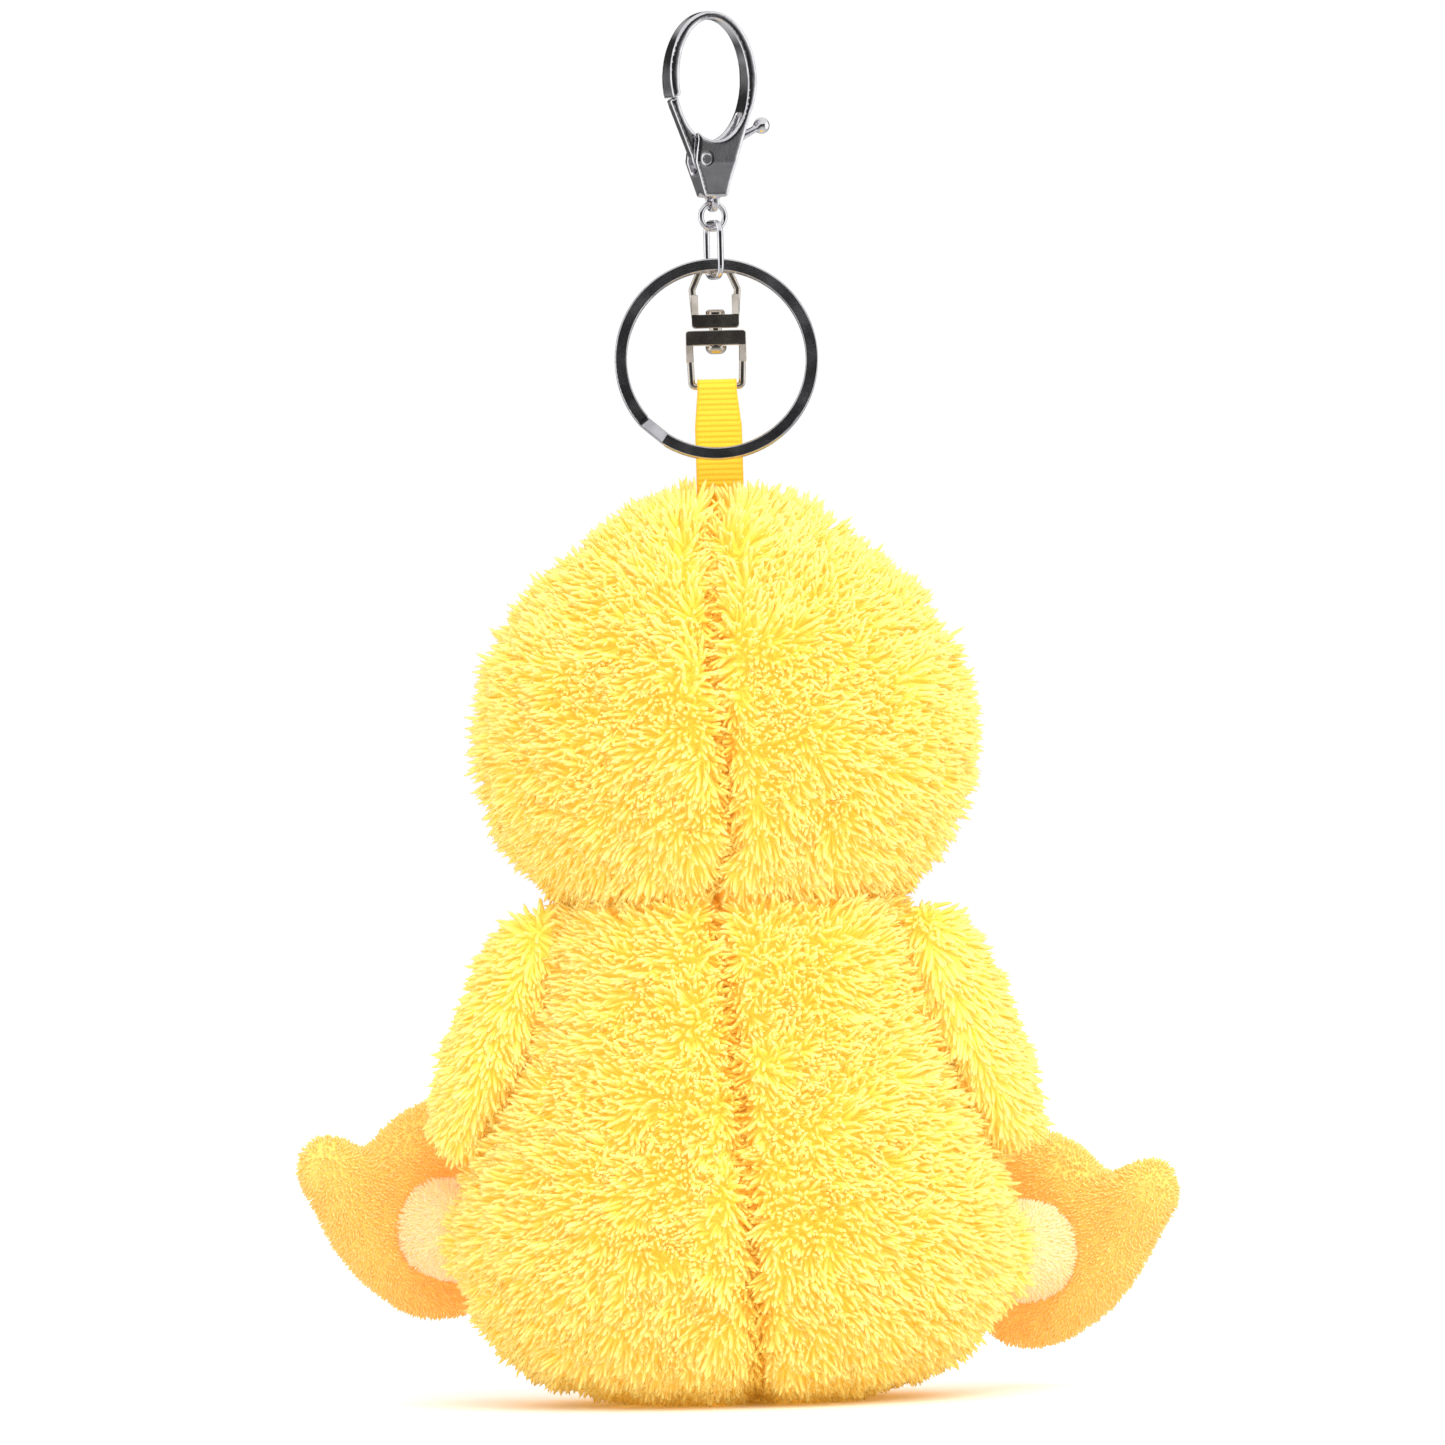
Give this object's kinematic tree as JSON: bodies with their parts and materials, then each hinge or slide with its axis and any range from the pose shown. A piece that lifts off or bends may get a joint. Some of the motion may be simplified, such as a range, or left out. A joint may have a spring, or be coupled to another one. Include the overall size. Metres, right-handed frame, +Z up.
{
  "type": "plush keychain",
  "caption": "Seated plush duckling hung from a trigger clasp by short chain links, with a split key ring, a turning swivel and a ribbon loop sewn into its head.",
  "frame": {"origin": "centre of the clasp's hook, where the bag's strap or ring bears", "axes": "+Z up along the hanging keychain, the duckling faces -Y and its left side is +X"},
  "size_m": [0.1269, 0.0715, 0.2055],
  "materials": {
    "polished_chrome": "polished",
    "spring_steel": "satin",
    "ring_steel": "polished",
    "nickel": "polished",
    "ribbon": "ribbed grosgrain",
    "filling": "loose fibre",
    "washer_plastic": "matte",
    "eye_plastic": "gloss",
    "orange_velour": "short pile",
    "peach_velour": "short pile",
    "yellow_fur": "deep soft pile"
  },
  "bodies": {
    "clasp": {"clasp_body": "polished_chrome", "lever_pin": "polished_chrome", "lever_spring": "spring_steel"},
    "lever": {"clasp_lever": "polished_chrome"},
    "upper_link": {"chain_link_upper": "polished_chrome"},
    "lower_link": {"chain_link_lower": "polished_chrome"},
    "key_ring": {"split_ring": "ring_steel"},
    "upper_bail": {"swivel_upper_bail": "nickel", "swivel_rivet": "nickel"},
    "lower_bail": {"swivel_lower_bail": "nickel"},
    "plush": {"ribbon_loop": "ribbon", "head_cover_left": "yellow_fur", "head_cover_right": "yellow_fur", "head_stuffing": "filling", "body_cover_left": "yellow_fur", "body_cover_right": "yellow_fur", "body_seat_panel": "yellow_fur", "body_stuffing": "filling", "eye_left": "eye_plastic", "eye_right": "eye_plastic", "eye_washer_left": "washer_plastic", "eye_washer_right": "washer_plastic", "bill_upper": "orange_velour", "bill_lower": "orange_velour"},
    "wing_left": {"wing_left": "yellow_fur"},
    "wing_right": {"wing_right": "yellow_fur"},
    "leg_left": {"thigh_left": "yellow_fur", "leg_left": "peach_velour", "foot_left": "orange_velour"},
    "leg_right": {"thigh_right": "yellow_fur", "leg_right": "peach_velour", "foot_right": "orange_velour"}
  },
  "joints": [
    {"name": "lever_hinge", "type": "hinge", "parent": "clasp", "child": "lever", "pos_m": [0.00148, 0.0006, -0.0166], "axis": [0.3746, -0.9272, 0], "range_deg": [0, 22], "stiffness_Nm_per_rad": 0.004, "springref_deg": -20.05, "deforming": ["lever_spring"]},
    {"name": "upper_link_swing", "type": "hinge", "parent": "clasp", "child": "upper_link", "pos_m": [0, 0, -0.02311], "axis": [-0.3746, 0.9272, 0], "range_deg": [-18, 18]},
    {"name": "lower_link_swing", "type": "hinge", "parent": "upper_link", "child": "lower_link", "pos_m": [0, 0, -0.02691], "axis": [0.9272, 0.3746, 0], "range_deg": [-25, 25]},
    {"name": "key_ring_swing", "type": "hinge", "parent": "lower_link", "child": "key_ring", "pos_m": [0, 0.00075, -0.03222], "axis": [1, 0, 0], "range_deg": [0, 60]},
    {"name": "upper_bail_swing", "type": "hinge", "parent": "lower_link", "child": "upper_bail", "pos_m": [0, -0.0011, -0.03392], "axis": [0, 1, 0], "range_deg": [-10, 10]},
    {"name": "swivel_turn", "type": "hinge", "parent": "upper_bail", "child": "lower_bail", "pos_m": [0, -0.0011, -0.0427], "axis": [0, 0, 1], "continuous": true},
    {"name": "plush_swing", "type": "hinge", "parent": "lower_bail", "child": "plush", "pos_m": [0, -0.0011, -0.0501], "axis": [1, 0, 0], "range_deg": [-12, 12]},
    {"name": "wing_left_lift", "type": "hinge", "parent": "plush", "child": "wing_left", "pos_m": [0.0335, 0.002, -0.1302], "axis": [0, -1, 0], "range_deg": [0, 60]},
    {"name": "wing_right_lift", "type": "hinge", "parent": "plush", "child": "wing_right", "pos_m": [-0.0335, 0.002, -0.1302], "axis": [0, 1, 0], "range_deg": [0, 60]},
    {"name": "leg_left_turn", "type": "hinge", "parent": "plush", "child": "leg_left", "pos_m": [0.0345, -0.0065, -0.1758], "axis": [0, 0, 1], "range_deg": [0, 25]},
    {"name": "leg_right_turn", "type": "hinge", "parent": "plush", "child": "leg_right", "pos_m": [-0.0345, -0.0065, -0.1796], "axis": [0, 0, -1], "range_deg": [0, 25]}
  ]
}
